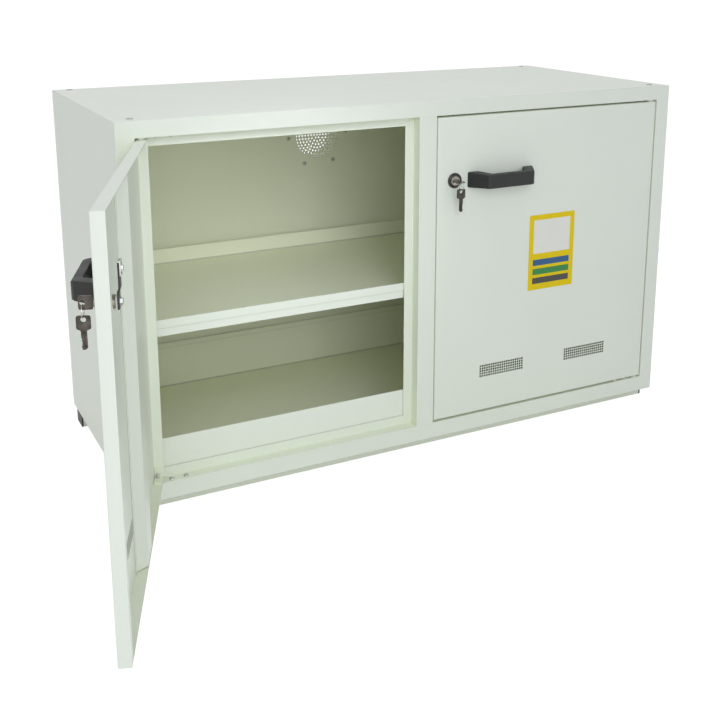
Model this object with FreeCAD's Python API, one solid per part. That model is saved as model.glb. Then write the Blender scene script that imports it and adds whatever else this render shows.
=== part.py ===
"""Two-door sheet steel safety cabinet for flammable liquids, on two base rails.

Millimetres, +Z up, front towards -Y. The origin is the middle of the front base rail's underside.
The left door stands open, the right door is closed. Each door is made once as a closed left-hand
door: the left one is then swung open about its pins and the right one is its mirror image.
"""
import FreeCAD
import Part
import math
import os

Vector = FreeCAD.Vector
os.makedirs("parts", exist_ok=True)

# Carcass
WIDTH = 1100.0
DEPTH = 476.0
BODY_HEIGHT = 638.0
SHEET = 1.2
CORNER_RADIUS = 2.5
REAR_RETURN = 15.0
FLOOR_EDGE = 20.0

# Base rails
RAIL_DEPTH = 40.0
RAIL_HEIGHT = 25.0
RAIL_WALL = 2.0
RAIL_INSET = 30.0
PLUG_FLANGE = 3.0
PLUG_TONGUE = 15.0

# Front frame, heights measured from the underside of the carcass
STILE = 30.0
MULLION = 35.0
SILL_TOP = 30.5
HEAD_UNDERSIDE = 611.0
REVEAL_DEPTH = 21.0
STOP_WIDTH = 17.0
FRAME_ROUND = 0.96

# Doors
DOOR_DEPTH = 18.0
SIDE_GAP = 2.5
BOTTOM_GAP = 4.0
TOP_GAP = 3.5
DOOR_CORNER = 2.0
DOOR_LIP = 13.0
HINGE_WALL_DEPTH = 17.0
OPEN_ANGLE = 111.0
STIFFENER_CROWN = 52.0
STIFFENER_FOOT = 80.0
STIFFENER_FLANGE = 7.0
STIFFENER_GAP = 1.0

# Door pivots, measured from the opening's edge and from the front face
PIVOT_INSET = 11.6
PIVOT_DEPTH = 7.8
PIN_RADIUS = 3.0
RUNNING_CLEARANCE = 0.05
PIN_REACH = 10.0
SHOULDER_RADIUS = 6.5
SHOULDER_PLAY = 0.1
HINGE_PLATE_LENGTH = 66.0
HINGE_PLATE_DEPTH = 15.0
HINGE_PLATE = 3.0
HINGE_SCREW_OFFSETS = (35.0, 60.0)
HINGE_SCREW_DEPTH = 9.0
HINGE_SCREW_RADIUS = 4.5
HINGE_SCREW_HEIGHT = 2.2
HINGE_ANGLE_LENGTH = 28.0
HINGE_ANGLE_LEG = 16.0
HINGE_ANGLE_BASE = 3.0
HINGE_ANGLE_WALL = 2.0

# Perforations
GRID_COLUMNS = 20
GRID_ROWS = 5
GRID_PITCH = 5.05
GRID_HOLE = 3.3
GRID_OFFSET = 99.5
GRID_HEIGHT = 114.5
VENT_RINGS = 7
VENT_PITCH = 6.95
VENT_HOLE = 3.6
VENT_HEIGHT = 512.5

# Exhaust collar
SPIGOT_RADIUS = 50.0
SPIGOT_WALL = 1.0
SPIGOT_LENGTH = 45.0
SPIGOT_FLANGE_RADIUS = 77.0
SPIGOT_FLANGE = 1.5
SPIGOT_SCREW_CIRCLE = 135.0
SPIGOT_SCREWS = 6
SPIGOT_SCREW_TURN = 3.0
SPIGOT_SCREW_RADIUS = 3.8
SPIGOT_SCREW_HEIGHT = 2.0

# Trays, heights measured from the underside of the carcass
TRAY_SIDE_GAP = 3.0
SHELF_FRONT = 22.4
SHELF_DEPTH = 418.6
SHELF_FLOOR = 279.5
SHELF_FRONT_WALL = 27.0
SHELF_REAR_WALL = 30.5
HEM_HEIGHT = 14.0
HEM_PROUD = 1.3
SUMP_FRONT = 22.4
SUMP_DEPTH = 447.6
SUMP_WALL = 99.0
SUMP_HEM = 10.0
BRACKET_LEG = 25.0
BRACKET_SHEET = 2.0
BRACKET_SETBACK = 12.0

# Top plugs, places measured from the left side and the front face
PLUG_HOLE_INSET = 30.0
PLUG_HOLE_FRONT = 25.0
PLUG_HOLE_REAR = 463.0
PLUG_HEAD_RADIUS = 6.0
PLUG_HEAD_HEIGHT = 1.4
PLUG_STEM_RADIUS = 4.5
PLUG_STEM_LENGTH = 5.0

# Lock, places measured from the opening's mullion edge and the underside of the carcass
LOCK_INSET = 38.0
LOCK_HEIGHT = 492.0
LOCK_RING_RADIUS = 14.0
LOCK_RING_DEPTH = 4.2
LOCK_RING_BEVEL = 1.6
BARREL_RADIUS = 8.9
BARREL_LENGTH = 19.5
BARREL_PROUD = 4.0
NUT_WIDTH = 24.0
NUT_DEPTH = 5.0
CYLINDER_RADIUS = 6.0
CYLINDER_PROUD = 4.1
CYLINDER_HEAD_RADIUS = 7.4
CYLINDER_HEAD = 1.1
TAIL = 8.0
CAM_FACE = BARREL_LENGTH + 0.1
CAM_PLATE = 2.0
CAM_PLATE_WIDTH = 17.0
CAM_PLATE_DROP = 1.0
CAM_WIDTH = 14.0
CAM_SHEET = 2.2
CAM_REACH = 48.0
CAM_JOGGLE = 3.9
CAM_END = 8.0
CAM_BEND = 13.0
CAM_BEND_LENGTH = 5.0
HOOK_LENGTH = 16.0
HOOK_SHEET = 1.8
CAM_SCREW_WIDTH = 9.0
CAM_SCREW_HEIGHT = 3.5
HOOK_SCREW_WIDTH = 7.0
HOOK_SCREW_HEIGHT = 2.2

# Keys
KEY_SHEET = 2.0
KEY_BOW = 17.0
KEY_CORNER = 2.5
KEY_BLADE = 7.0
KEY_BLADE_LENGTH = 23.0
KEY_STANDOFF = 6.9
KEY_SHOULDER = 1.5
KEY_PLAY = 0.15
KEY_HOLE_RADIUS = 3.2
KEY_END_BAR = 1.6
RING_RADIUS = 7.9
RING_WIRE = 1.2
LOOSE_FIT = 0.3

# Handle
HANDLE_CENTRE = 154.0
HANDLE_BASE = 142.0
HANDLE_FRONT = 100.0
HANDLE_REACH = 40.0
HANDLE_FOOT = 22.0
HANDLE_BAR = 13.0
HANDLE_BASE_HEIGHT = 29.0
HANDLE_FRONT_HEIGHT = 25.0
HANDLE_SCREW_RADIUS = 5.0
HANDLE_SCREW_HEIGHT = 3.2

# Derived places in the part's own frame
HALF = WIDTH / 2
FRONT = -(RAIL_INSET + RAIL_DEPTH / 2)
BACK = FRONT + DEPTH
UNDERSIDE = RAIL_HEIGHT
TOP = UNDERSIDE + BODY_HEIGHT
SILL = UNDERSIDE + SILL_TOP
HEAD = UNDERSIDE + HEAD_UNDERSIDE
OPENING_OUTER = -HALF + STILE
OPENING_INNER = -MULLION / 2
STOP_FACE = FRONT + REVEAL_DEPTH
PIVOT = Vector(OPENING_OUTER + PIVOT_INSET, FRONT + PIVOT_DEPTH, 0)
DOOR_OUTER = OPENING_OUTER + SIDE_GAP
DOOR_INNER = OPENING_INNER - SIDE_GAP
DOOR_MIDDLE = (DOOR_OUTER + DOOR_INNER) / 2
DOOR_BOTTOM = SILL + BOTTOM_GAP
DOOR_TOP = HEAD - TOP_GAP
LOCK = Vector(OPENING_INNER - LOCK_INSET, FRONT, UNDERSIDE + LOCK_HEIGHT)
X_AXIS = Vector(1, 0, 0)
Y_AXIS = Vector(0, 1, 0)
Z_AXIS = Vector(0, 0, 1)


def save(name, *solids):
    """Write one sub-part, a single solid or a group of separate ones."""
    shape = solids[0] if len(solids) == 1 else Part.makeCompound(list(solids))
    if not shape.isValid():
        raise ValueError(name + " is not a valid solid")
    shape.exportStep(os.path.join("parts", name + ".step"))


def block(x0, x1, y0, y1, z0, z1):
    return Part.makeBox(x1 - x0, y1 - y0, z1 - z0, Vector(x0, y0, z0))


def rod(base, radius, length, axis=Z_AXIS):
    return Part.makeCylinder(radius, length, base, axis)


def outline(points):
    return Part.makePolygon([*points, points[0]])


def sided_rod(base, radius, length, sides=12, axis=Z_AXIS):
    """A rod drawn with a few flat sides, its corners at the given radius."""
    along = Vector(axis)
    first = along.cross(X_AXIS if abs(along.x) < 0.5 else Y_AXIS)
    second = along.cross(first)
    angles = [2 * math.pi * (step + 0.5) / sides for step in range(sides)]
    points = [base + first * (radius * math.cos(a)) + second * (radius * math.sin(a)) for a in angles]
    return Part.Face(outline(points)).extrude(along * length)


def sided_bore(base, radius, length, sides=12, axis=Z_AXIS):
    """A bore of flat sides that touch the given radius, so a round rod of that radius fits inside."""
    return sided_rod(base, radius / math.cos(math.pi / sides), length, sides, axis)


def prism(points, along):
    """A closed outline pushed along a vector."""
    return Part.Face(outline(points)).extrude(along)


def holed_face(wires):
    """A flat face from its outline and the outlines of its holes."""
    return Part.makeFace(wires, "Part::FaceMakerBullseye")


def mirrored(shape):
    return shape.mirror(Vector(0, 0, 0), X_AXIS)


def both_sides(shape):
    return [shape, mirrored(shape)]


def round_box(x0, x1, y0, y1, z0, z1, radius, keep):
    """A box with the edges that keep(edge) picks rounded."""
    solid = block(x0, x1, y0, y1, z0, z1)
    return solid.makeFillet(radius, [edge for edge in solid.Edges if keep(edge)])


def lies_at_y(edge, y):
    return all(abs(vertex.Point.y - y) < 1e-6 for vertex in edge.Vertexes)


def runs_along_y(edge):
    first, last = [vertex.Point for vertex in edge.Vertexes]
    return abs(first.x - last.x) < 1e-6 and abs(first.z - last.z) < 1e-6


def outer_casing():
    """The wrap of two sides and a top, folded from one sheet, with its edges turned in at the back."""
    front = FRONT + SHEET

    def upper_corner(edge):
        return runs_along_y(edge) and edge.Vertexes[0].Point.z > TOP - 1

    outside = round_box(-HALF, HALF, front, BACK, UNDERSIDE, TOP, CORNER_RADIUS, upper_corner)
    room = block(-HALF + SHEET, HALF - SHEET, front, BACK - SHEET, UNDERSIDE, TOP - SHEET)
    window = block(-HALF + REAR_RETURN, HALF - REAR_RETURN, front, BACK, UNDERSIDE, TOP - REAR_RETURN)
    wrap = outside.cut(room).cut(window)
    return wrap.cut(Part.makeCompound(top_plug_stems(TOP - SHEET, SHEET)))


def opening_sides():
    return [(OPENING_OUTER, OPENING_INNER), (-OPENING_INNER, -OPENING_OUTER)]


def front_frame():
    """Stiles, rails and mullion before they are parted, with reveals and stop flanges round the openings."""
    frame = block(-HALF, HALF, FRONT, FRONT + SHEET, UNDERSIDE, TOP)
    rim = [edge for edge in frame.Edges if lies_at_y(edge, FRONT)]
    frame = frame.makeFillet(FRAME_ROUND, rim)
    for left, right in opening_sides():
        reveal = block(left - SHEET, right + SHEET, FRONT + SHEET, STOP_FACE + SHEET,
                       SILL - SHEET, HEAD + SHEET)
        frame = frame.fuse(reveal)
    for left, right in opening_sides():
        doorway = block(left, right, FRONT, STOP_FACE, SILL, HEAD)
        inside = block(left + STOP_WIDTH, right - STOP_WIDTH, FRONT, STOP_FACE + SHEET,
                       SILL + STOP_WIDTH, HEAD - STOP_WIDTH)
        frame = frame.cut(doorway.fuse(inside))
    return frame.removeSplitter()


def mullion_place():
    """The room that the centre mullion takes up between the rails, its two stop flanges included."""
    column = block(OPENING_INNER, -OPENING_INNER, FRONT, STOP_FACE + SHEET, SILL, HEAD)
    edge = STOP_WIDTH - OPENING_INNER
    flanges = block(-edge, edge, STOP_FACE, STOP_FACE + SHEET, SILL + STOP_WIDTH, HEAD - STOP_WIDTH)
    return column.fuse(flanges)


def hinge_screw_places():
    y = FRONT + HINGE_SCREW_DEPTH
    return [(OPENING_OUTER + offset, y) for offset in HINGE_SCREW_OFFSETS]


def hinge_plates():
    """A plate under the sill and one above the head on each side back up the pivot pins."""
    plates = []
    left = OPENING_OUTER + SHEET
    front = FRONT + SHEET + LOOSE_FIT
    for z in (SILL - SHEET - HINGE_PLATE, HEAD + SHEET):
        plate = block(left, left + HINGE_PLATE_LENGTH, front, front + HINGE_PLATE_DEPTH, z, z + HINGE_PLATE)
        plates += both_sides(plate)
    return plates


def hinge_pins():
    """Shouldered pivot pins; the shoulder carries the door clear of the sill or the head."""
    pins = []
    for base, door_face, way in ((SILL, DOOR_BOTTOM, 1), (HEAD, DOOR_TOP, -1)):
        place = Vector(PIVOT.x, PIVOT.y, base)
        shoulder = sided_rod(place, SHOULDER_RADIUS, abs(door_face - base) - SHOULDER_PLAY, 8, Z_AXIS * way)
        pin = sided_rod(place, PIN_RADIUS, abs(door_face - base) + PIN_REACH, 8, Z_AXIS * way)
        pins += both_sides(shoulder.fuse(pin))
    return pins


def hinge_plate_screws():
    """Low screw heads in the reveal; they hold the hinge plates."""
    screws = []
    for x, y in hinge_screw_places():
        for z in (SILL, HEAD - HINGE_SCREW_HEIGHT):
            screws += both_sides(sided_rod(Vector(x, y, z), HINGE_SCREW_RADIUS, HINGE_SCREW_HEIGHT, 6))
    return screws


def floor_panel():
    """Flat floor with a turned-up edge at the front and the back, closed in by the casing's sides."""
    left = -HALF + SHEET
    front = FRONT + SHEET
    rear = BACK - 2 * SHEET
    turned = FLOOR_EDGE
    points = [(front, 0), (rear, 0), (rear, turned), (rear - SHEET, turned), (rear - SHEET, SHEET),
              (front + SHEET, SHEET), (front + SHEET, turned), (front, turned)]
    return prism([Vector(left, y, UNDERSIDE + z) for y, z in points], Vector(-2 * left, 0, 0))


def square_wire(x, y, z, side, turn=0.0):
    """A square hole's outline in an upright sheet at y, turned about its middle."""
    corners = []
    for step in range(4):
        angle = math.radians(45 + 90 * step + turn)
        reach = side / math.sqrt(2)
        corners.append(Vector(x + reach * math.cos(angle), y, z + reach * math.sin(angle)))
    return outline(corners)


def vent_places():
    """One hole in the middle and rings of six, twelve, eighteen and so on round it."""
    centre_z = UNDERSIDE + VENT_HEIGHT
    places = [(0.0, centre_z, 0.0)]
    for ring in range(1, VENT_RINGS + 1):
        for step in range(6 * ring):
            angle = 2 * math.pi * step / (6 * ring)
            radius = ring * VENT_PITCH
            x = radius * math.cos(angle)
            z = centre_z + radius * math.sin(angle)
            places.append((x, z, math.degrees(angle)))
    return places


def spigot_screw_places():
    radius = SPIGOT_SCREW_CIRCLE / 2
    centre_z = UNDERSIDE + VENT_HEIGHT
    pitch = 360 / SPIGOT_SCREWS
    angles = [math.radians(pitch * step + SPIGOT_SCREW_TURN) for step in range(SPIGOT_SCREWS)]
    return [(radius * math.cos(angle), centre_z + radius * math.sin(angle)) for angle in angles]


def back_panel():
    """Flat rear sheet inside the casing's returns, perforated in front of the exhaust collar."""
    left = -HALF + SHEET
    face_y = BACK - 2 * SHEET
    edge = outline([Vector(left, face_y, UNDERSIDE), Vector(-left, face_y, UNDERSIDE),
                    Vector(-left, face_y, TOP - SHEET), Vector(left, face_y, TOP - SHEET)])
    holes = [square_wire(x, face_y, z, VENT_HOLE, turn) for x, z, turn in vent_places()]
    return holed_face([edge, *holes]).extrude(Vector(0, SHEET, 0))


def exhaust_spigot():
    """Round duct collar on a flange, behind the perforated field."""
    centre = Vector(0, BACK - SHEET, UNDERSIDE + VENT_HEIGHT)
    flange = sided_rod(centre, SPIGOT_FLANGE_RADIUS, SPIGOT_FLANGE, 20, Y_AXIS)
    collar = flange.fuse(rod(centre, SPIGOT_RADIUS, SPIGOT_LENGTH, Y_AXIS))
    return collar.cut(sided_rod(centre, SPIGOT_RADIUS - SPIGOT_WALL, SPIGOT_LENGTH, 20, Y_AXIS))


def spigot_screws():
    """Heads of the screws put in from inside the cabinet to hold the collar's flange."""
    y = BACK - 2 * SHEET - SPIGOT_SCREW_HEIGHT
    places = [Vector(x, y, z) for x, z in spigot_screw_places()]
    return [sided_rod(place, SPIGOT_SCREW_RADIUS, SPIGOT_SCREW_HEIGHT, 6, Y_AXIS) for place in places]


def tray(front, depth, floor, front_wall, rear_wall):
    """A folded sheet tray: floor, front and rear walls, and side walls as high as the rear one."""
    left = -HALF + SHEET + TRAY_SIDE_GAP
    y0 = FRONT + front
    y1 = y0 + depth
    z0 = UNDERSIDE + floor - SHEET
    solid = block(left, -left, y0, y1, z0, z0 + rear_wall + SHEET)
    inside = block(left + SHEET, -left - SHEET, y0 + SHEET, y1 - SHEET, z0 + SHEET, z0 + rear_wall + SHEET)
    solid = solid.cut(inside)
    if front_wall < rear_wall:
        solid = solid.cut(block(left, -left, y0, y0 + SHEET, z0 + SHEET + front_wall, z0 + SHEET + rear_wall))
    return solid


def shelf_tray():
    """Spill tray used as a shelf; the front wall's upper half is a hem that stands a little proud."""
    wall = SHELF_FRONT + HEM_PROUD
    solid = tray(wall, SHELF_DEPTH - HEM_PROUD, SHELF_FLOOR, SHELF_FRONT_WALL, SHELF_REAR_WALL)
    left = -HALF + SHEET + TRAY_SIDE_GAP
    top = UNDERSIDE + SHELF_FLOOR + SHELF_FRONT_WALL
    hem = block(left, -left, FRONT + SHELF_FRONT, FRONT + wall, top - HEM_HEIGHT, top)
    return solid.fuse(hem).removeSplitter()


def sump_tray():
    """Deep collecting tray on the floor, with a hem turned inward round its rim."""
    solid = tray(SUMP_FRONT, SUMP_DEPTH, 2 * SHEET, SUMP_WALL - 2 * SHEET, SUMP_WALL - 2 * SHEET)
    left = -HALF + 2 * SHEET + TRAY_SIDE_GAP
    y0 = FRONT + SUMP_FRONT + SHEET
    y1 = FRONT + SUMP_FRONT + SUMP_DEPTH - SHEET
    top = UNDERSIDE + SUMP_WALL
    hem = block(left, -left, y0, y1, top - SUMP_HEM, top)
    hollow = block(left + SHEET, -left - SHEET, y0 + SHEET, y1 - SHEET, top - SUMP_HEM, top)
    return solid.fuse(hem.cut(hollow)).removeSplitter()


def shelf_bracket():
    """Angle on the casing's left side, under the shelf's edge, with a turned-up stop at the back."""
    wall = -HALF + SHEET
    under = UNDERSIDE + SHELF_FLOOR - SHEET
    y0 = FRONT + SHELF_FRONT + BRACKET_SETBACK
    length = SHELF_DEPTH - 2 * BRACKET_SETBACK
    points = [(0, 0), (BRACKET_LEG, 0), (BRACKET_LEG, -BRACKET_SHEET), (BRACKET_SHEET, -BRACKET_SHEET),
              (BRACKET_SHEET, -BRACKET_LEG), (0, -BRACKET_LEG)]
    return prism([Vector(wall + x, y0, under + z) for x, z in points], Vector(0, length, 0))


def base_rail(middle_y):
    """Rectangular tube across the whole width, open at both ends for its plugs."""
    x0 = -HALF + PLUG_FLANGE
    y0 = middle_y - RAIL_DEPTH / 2
    y1 = middle_y + RAIL_DEPTH / 2
    tube = block(x0, -x0, y0, y1, 0, RAIL_HEIGHT)
    bore = block(x0, -x0, y0 + RAIL_WALL, y1 - RAIL_WALL, RAIL_WALL, RAIL_HEIGHT - RAIL_WALL)
    return tube.cut(bore)


def rail_middles():
    return (0.0, BACK - RAIL_INSET - RAIL_DEPTH / 2)


def rail_end_plugs():
    """A plug closes each tube end: a flange over the end and a tongue pushed inside."""
    plugs = []
    wall = RAIL_WALL
    for middle in rail_middles():
        y0 = middle - RAIL_DEPTH / 2
        y1 = middle + RAIL_DEPTH / 2
        inner = -HALF + PLUG_FLANGE
        flange = block(-HALF, inner, y0, y1, 0, RAIL_HEIGHT)
        tongue = block(inner, inner + PLUG_TONGUE, y0 + wall, y1 - wall, wall, RAIL_HEIGHT - wall)
        plugs += both_sides(flange.fuse(tongue))
    return plugs


def top_plug_places():
    places = []
    for y in (PLUG_HOLE_FRONT, PLUG_HOLE_REAR):
        places += [(-HALF + PLUG_HOLE_INSET, FRONT + y), (HALF - PLUG_HOLE_INSET, FRONT + y)]
    return places


def top_plug_stems(start, length):
    return [sided_rod(Vector(x, y, start), PLUG_STEM_RADIUS, length, 4) for x, y in top_plug_places()]


def top_hole_plugs():
    """Low caps that close the four bolt holes in the top."""
    places = [Vector(x, y, TOP) for x, y in top_plug_places()]
    heads = [sided_rod(place, PLUG_HEAD_RADIUS, PLUG_HEAD_HEIGHT, 8) for place in places]
    stems = top_plug_stems(TOP - PLUG_STEM_LENGTH, PLUG_STEM_LENGTH)
    return [head.fuse(stem) for head, stem in zip(heads, stems)]


def grid_holes(y, length):
    """The two perforated fields low in a door, square holes in rows and columns."""
    cutters = []
    half_columns = (GRID_COLUMNS - 1) / 2
    half_rows = (GRID_ROWS - 1) / 2
    for field in (-GRID_OFFSET, GRID_OFFSET):
        for column in range(GRID_COLUMNS):
            for row in range(GRID_ROWS):
                x = DOOR_MIDDLE + field + (column - half_columns) * GRID_PITCH
                z = UNDERSIDE + GRID_HEIGHT + (row - half_rows) * GRID_PITCH
                half = GRID_HOLE / 2
                cutters.append(block(x - half, x + half, y, y + length, z - half, z + half))
    return cutters


def handle_screw_places():
    reach = (HANDLE_BASE - HANDLE_FOOT) / 2
    return [(-HANDLE_CENTRE - reach, LOCK.z), (-HANDLE_CENTRE + reach, LOCK.z)]


def door_panel():
    """Closed left door: a pan of one sheet, four walls, a lip down the free edge and its holes."""
    inner_radius = DOOR_CORNER - SHEET
    back = FRONT + DOOR_DEPTH

    def front_edge(edge):
        return lies_at_y(edge, FRONT)

    def floor_edge(edge):
        return lies_at_y(edge, FRONT + SHEET)

    pan = round_box(DOOR_OUTER, DOOR_INNER, FRONT, back, DOOR_BOTTOM, DOOR_TOP, DOOR_CORNER, front_edge)
    hollow = round_box(DOOR_OUTER + SHEET, DOOR_INNER - SHEET, FRONT + SHEET, back,
                       DOOR_BOTTOM + SHEET, DOOR_TOP - SHEET, inner_radius, floor_edge)
    pan = pan.cut(hollow)
    lip = block(DOOR_INNER - DOOR_LIP, DOOR_INNER - SHEET / 2, back - SHEET, back,
                DOOR_BOTTOM + SHEET / 2, DOOR_TOP - SHEET / 2)
    pan = pan.fuse(lip).removeSplitter()
    trim = block(DOOR_OUTER, DOOR_OUTER + SHEET, FRONT + HINGE_WALL_DEPTH, back, DOOR_BOTTOM, DOOR_TOP)
    cutters = [trim, sided_bore(LOCK, BARREL_RADIUS, SHEET, 12, Y_AXIS)]
    for z in (DOOR_BOTTOM, DOOR_TOP - SHEET):
        cutters.append(sided_bore(Vector(PIVOT.x, PIVOT.y, z), PIN_RADIUS + RUNNING_CLEARANCE, SHEET, 8))
    cutters += grid_holes(FRONT, SHEET)
    return pan.cut(Part.makeCompound(cutters))


def door_stiffener():
    """Hat-section stiffener down the middle of the door, its flanges flat on the skin."""
    crown = STIFFENER_CROWN / 2
    foot = STIFFENER_FOOT / 2
    edge = foot + STIFFENER_FLANGE
    height = DOOR_DEPTH - SHEET - STIFFENER_GAP
    outside = [(-edge, SHEET), (-foot, SHEET), (-crown, height), (crown, height), (foot, SHEET),
               (edge, SHEET)]
    inside = [(edge, 0), (foot - 1, 0), (crown - 0.6, height - SHEET), (0.6 - crown, height - SHEET),
              (1 - foot, 0), (-edge, 0)]
    end_gap = SHEET + STIFFENER_GAP
    base = Vector(DOOR_MIDDLE, FRONT + SHEET, DOOR_BOTTOM + end_gap)
    length = DOOR_TOP - DOOR_BOTTOM - 2 * end_gap
    return prism([base + Vector(x, y, 0) for x, y in outside + inside], Vector(0, 0, length))


def door_hinge_brackets():
    """Angles in the door's hinge corners that give its pin holes a thicker bearing."""
    brackets = []
    left = DOOR_OUTER + SHEET
    y0 = FRONT + 2 * SHEET
    y1 = FRONT + HINGE_WALL_DEPTH - SHEET
    plate = HINGE_ANGLE_BASE
    outline_points = [(0, 0), (HINGE_ANGLE_LENGTH, 0), (HINGE_ANGLE_LENGTH, plate), (HINGE_ANGLE_WALL, plate),
                      (HINGE_ANGLE_WALL, HINGE_ANGLE_LEG), (0, HINGE_ANGLE_LEG)]
    for z0, way in ((DOOR_BOTTOM + SHEET, 1), (DOOR_TOP - SHEET, -1)):
        points = [Vector(left + x, y0, z0 + way * z) for x, z in outline_points]
        angle = prism(points, Vector(0, y1 - y0, 0))
        start = min(z0, z0 + way * plate)
        bore = sided_bore(Vector(PIVOT.x, PIVOT.y, start), PIN_RADIUS + RUNNING_CLEARANCE, plate, 8)
        angle = angle.cut(bore)
        brackets.append(angle)
    return brackets


def handle():
    """Bridge handle: two slanted legs and a bar, deeper at the door than at the grip."""
    base = HANDLE_BASE / 2
    front = HANDLE_FRONT / 2
    inner_base = base - HANDLE_FOOT
    bar_back = HANDLE_REACH - HANDLE_BAR
    inner_front = front - HANDLE_BAR - 2.0
    points = [(-base, 0), (-base + 2, -5), (-front, -HANDLE_REACH + 3), (-front + 4, -HANDLE_REACH),
              (front - 4, -HANDLE_REACH), (front, -HANDLE_REACH + 3), (base - 2, -5), (base, 0),
              (inner_base, 0), (inner_front, -bar_back), (-inner_front, -bar_back), (-inner_base, 0)]
    low = LOCK.z - 1 - HANDLE_BASE_HEIGHT / 2
    centre = Vector(-HANDLE_CENTRE, FRONT, low)
    solid = prism([centre + Vector(x, y, 0) for x, y in points], Vector(0, 0, HANDLE_BASE_HEIGHT))
    taper = (HANDLE_BASE_HEIGHT - HANDLE_FRONT_HEIGHT) / 2
    side = [(0, 0), (-HANDLE_REACH, taper), (-HANDLE_REACH, HANDLE_BASE_HEIGHT - taper),
            (0, HANDLE_BASE_HEIGHT)]
    left = centre + Vector(-base, 0, 0)
    envelope = prism([left + Vector(0, y, z) for y, z in side], Vector(HANDLE_BASE, 0, 0))
    return solid.common(envelope)


def handle_screws():
    """Screw heads on the door's inner side, one behind each foot of the handle."""
    places = [Vector(x, FRONT + SHEET, z) for x, z in handle_screw_places()]
    return [sided_rod(place, HANDLE_SCREW_RADIUS, HANDLE_SCREW_HEIGHT, 6, Y_AXIS) for place in places]


def lock_ring():
    """Black rosette round the lock, its front edge bevelled."""
    outward = Y_AXIS * -1
    base = sided_rod(LOCK, LOCK_RING_RADIUS, LOCK_RING_DEPTH, 16, outward)
    rim = [edge for edge in base.Edges if lies_at_y(edge, FRONT - LOCK_RING_DEPTH)]
    bevelled = base.makeChamfer(LOCK_RING_BEVEL, rim)
    return bevelled.cut(sided_bore(LOCK, BARREL_RADIUS, LOCK_RING_DEPTH, 12, outward))


def lock_body():
    """Lock barrel through the door, bored for the cylinder."""
    start = LOCK - Y_AXIS * BARREL_PROUD
    length = BARREL_PROUD + BARREL_LENGTH
    barrel = sided_rod(start, BARREL_RADIUS, length, 12, Y_AXIS)
    return barrel.cut(sided_bore(start, CYLINDER_RADIUS + RUNNING_CLEARANCE, length, 12, Y_AXIS))


def hexagon(centre, across_flats, length):
    """A six-sided prism along the door's normal."""
    reach = across_flats / math.sqrt(3)
    angles = [math.radians(60 * step) for step in range(6)]
    points = [centre + Vector(reach * math.cos(a), 0, reach * math.sin(a)) for a in angles]
    return prism(points, Vector(0, length, 0))


def lock_nut():
    start = LOCK + Vector(0, SHEET, 0)
    return hexagon(start, NUT_WIDTH, NUT_DEPTH).cut(sided_rod(start, BARREL_RADIUS, NUT_DEPTH, 12, Y_AXIS))


def keyway(flat):
    """The slot for the key's blade; flat lays the key level, otherwise it stands upright."""
    half = KEY_BLADE / 2 + KEY_PLAY
    thin = KEY_SHEET / 2 + KEY_PLAY
    wide, high = (half, thin) if flat else (thin, half)
    bottom = FRONT + KEY_BLADE_LENGTH - (KEY_STANDOFF - KEY_SHOULDER) + LOOSE_FIT
    mouth = FRONT - CYLINDER_PROUD - CYLINDER_HEAD
    return block(LOCK.x - wide, LOCK.x + wide, mouth, bottom, LOCK.z - high, LOCK.z + high)


def lock_cylinder(flat):
    """Key cylinder with a wider head in front of the barrel and a square tail for the cam."""
    start = LOCK - Y_AXIS * CYLINDER_PROUD
    head = sided_rod(start - Y_AXIS * CYLINDER_HEAD, CYLINDER_HEAD_RADIUS, CYLINDER_HEAD, 16, Y_AXIS)
    stem = sided_rod(start, CYLINDER_RADIUS, CYLINDER_PROUD + BARREL_LENGTH, 12, Y_AXIS)
    half = TAIL / 2
    tail_end = FRONT + CAM_FACE + CAM_PLATE + CAM_SHEET
    tail = block(LOCK.x - half, LOCK.x + half, FRONT + BARREL_LENGTH, tail_end, LOCK.z - half, LOCK.z + half)
    return head.fuse([stem, tail]).removeSplitter().cut(keyway(flat))


def tail_hole():
    half = TAIL / 2
    y0 = FRONT + CAM_FACE
    y1 = y0 + CAM_PLATE + CAM_SHEET
    return block(LOCK.x - half, LOCK.x + half, y0, y1, LOCK.z - half, LOCK.z + half)


def cam_plate():
    """Square locating plate on the cylinder's tail, under the cam bar."""
    half = CAM_PLATE_WIDTH / 2
    y0 = FRONT + CAM_FACE
    z = LOCK.z - CAM_PLATE_DROP
    plate = block(LOCK.x - half, LOCK.x + half, y0, y0 + CAM_PLATE, z - half, z + half)
    return plate.cut(tail_hole())


def cam_bar():
    """Joggled bar that turns from upright to behind the mullion's stop flange."""
    half = CAM_WIDTH / 2
    y0 = FRONT + CAM_FACE + CAM_PLATE
    t = CAM_SHEET
    step = CAM_JOGGLE - CAM_PLATE
    bend_end = CAM_BEND + CAM_BEND_LENGTH
    points = [(0, -CAM_END), (0, CAM_BEND), (step, bend_end), (step, CAM_REACH), (step + t, CAM_REACH),
              (step + t, bend_end - 1), (t, CAM_BEND - 1), (t, -CAM_END)]
    bar = prism([Vector(LOCK.x - half, y0 + y, LOCK.z + z) for y, z in points], Vector(CAM_WIDTH, 0, 0))
    return bar.cut(tail_hole())


def cam_hook():
    """Plate screwed on the bar's tip, its end bent back to catch the flange."""
    half = CAM_WIDTH / 2
    y0 = FRONT + CAM_FACE + CAM_JOGGLE + CAM_SHEET
    z0 = LOCK.z + CAM_REACH
    t = HOOK_SHEET
    points = [(0, -HOOK_LENGTH), (t, -HOOK_LENGTH), (t, t), (-CAM_SHEET, t), (-CAM_SHEET, 0), (0, 0)]
    return prism([Vector(LOCK.x - half, y0 + y, z0 + z) for y, z in points], Vector(CAM_WIDTH, 0, 0))


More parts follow.
